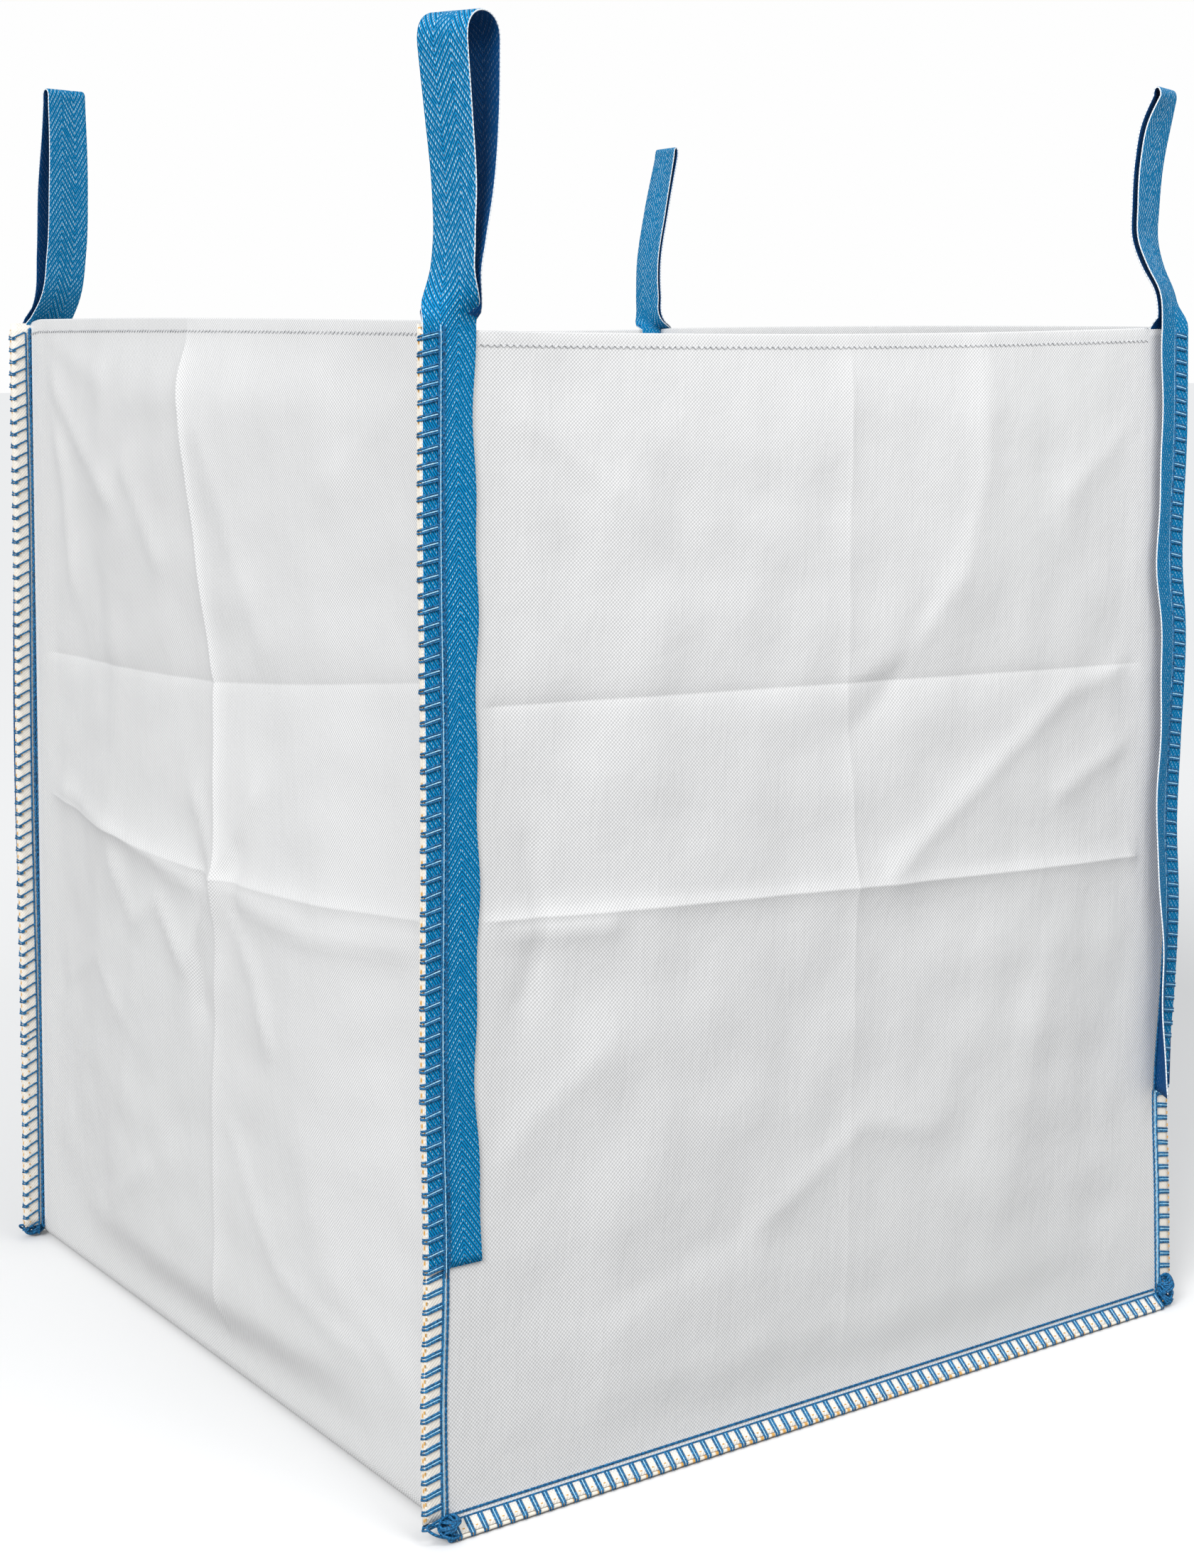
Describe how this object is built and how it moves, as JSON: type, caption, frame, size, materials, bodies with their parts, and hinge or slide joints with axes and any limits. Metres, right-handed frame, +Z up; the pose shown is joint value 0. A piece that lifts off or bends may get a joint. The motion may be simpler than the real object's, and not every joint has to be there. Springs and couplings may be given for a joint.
{
  "type": "bulk bag",
  "caption": "Open-top bulk bag of white woven polypropylene on a square base, with blue webbing lifting loops sewn into its upright corner seams.",
  "frame": {"origin": "middle of the base on the floor", "axes": "+Z up, front inserted panel towards -Y, +X to the right of a person facing the front panel"},
  "size_m": [0.8956, 0.8946, 1.252],
  "materials": {
    "woven_cloth": "satin",
    "webbing": "matte",
    "thread": "satin",
    "filler_cord": "matte",
    "hem_thread": "matte"
  },
  "bodies": {
    "bag": {"u_panel": "woven_cloth", "front_panel": "woven_cloth", "back_panel": "woven_cloth", "front_left_loop_outer_leg": "webbing", "front_left_loop_inner_leg": "webbing", "front_left_overlock_thread": "thread", "front_left_chain_thread": "thread", "front_left_filler_cord": "filler_cord", "front_left_corner_tack": "thread", "front_right_loop_outer_leg": "webbing", "front_right_loop_inner_leg": "webbing", "front_right_overlock_thread": "thread", "front_right_chain_thread": "thread", "front_right_filler_cord": "filler_cord", "front_right_corner_tack": "thread", "back_right_loop_outer_leg": "webbing", "back_right_loop_inner_leg": "webbing", "back_right_overlock_thread": "thread", "back_right_chain_thread": "thread", "back_right_filler_cord": "filler_cord", "back_right_corner_tack": "thread", "back_left_loop_outer_leg": "webbing", "back_left_loop_inner_leg": "webbing", "back_left_overlock_thread": "thread", "back_left_chain_thread": "thread", "back_left_filler_cord": "filler_cord", "back_left_corner_tack": "thread", "front_base_overlock_thread": "thread", "front_base_chain_thread": "thread", "front_base_filler_cord": "filler_cord", "back_base_overlock_thread": "thread", "back_base_chain_thread": "thread", "back_base_filler_cord": "filler_cord", "front_hem_thread": "hem_thread", "right_hem_thread": "hem_thread", "back_hem_thread": "hem_thread", "left_hem_thread": "hem_thread"},
    "front_left_loop": {"front_left_loop": "webbing"},
    "front_right_loop": {"front_right_loop": "webbing"},
    "back_right_loop": {"back_right_loop": "webbing"},
    "back_left_loop": {"back_left_loop": "webbing"}
  },
  "joints": [
    {"name": "front_left_loop_fold", "type": "hinge", "parent": "bag", "child": "front_left_loop", "pos_m": [-0.419, -0.42425, 1.008], "axis": [1, 0, 0], "range_deg": [-80, 120], "stiffness_Nm_per_rad": 0.2},
    {"name": "front_right_loop_fold", "type": "hinge", "parent": "bag", "child": "front_right_loop", "pos_m": [0.419, -0.42425, 1.008], "axis": [1, 0, 0], "range_deg": [-80, 120], "stiffness_Nm_per_rad": 0.2},
    {"name": "back_right_loop_fold", "type": "hinge", "parent": "bag", "child": "back_right_loop", "pos_m": [0.419, 0.42425, 1.008], "axis": [-1, 0, 0], "range_deg": [-80, 120], "stiffness_Nm_per_rad": 0.2},
    {"name": "back_left_loop_fold", "type": "hinge", "parent": "bag", "child": "back_left_loop", "pos_m": [-0.419, 0.42425, 1.008], "axis": [-1, 0, 0], "range_deg": [-80, 120], "stiffness_Nm_per_rad": 0.2}
  ]
}
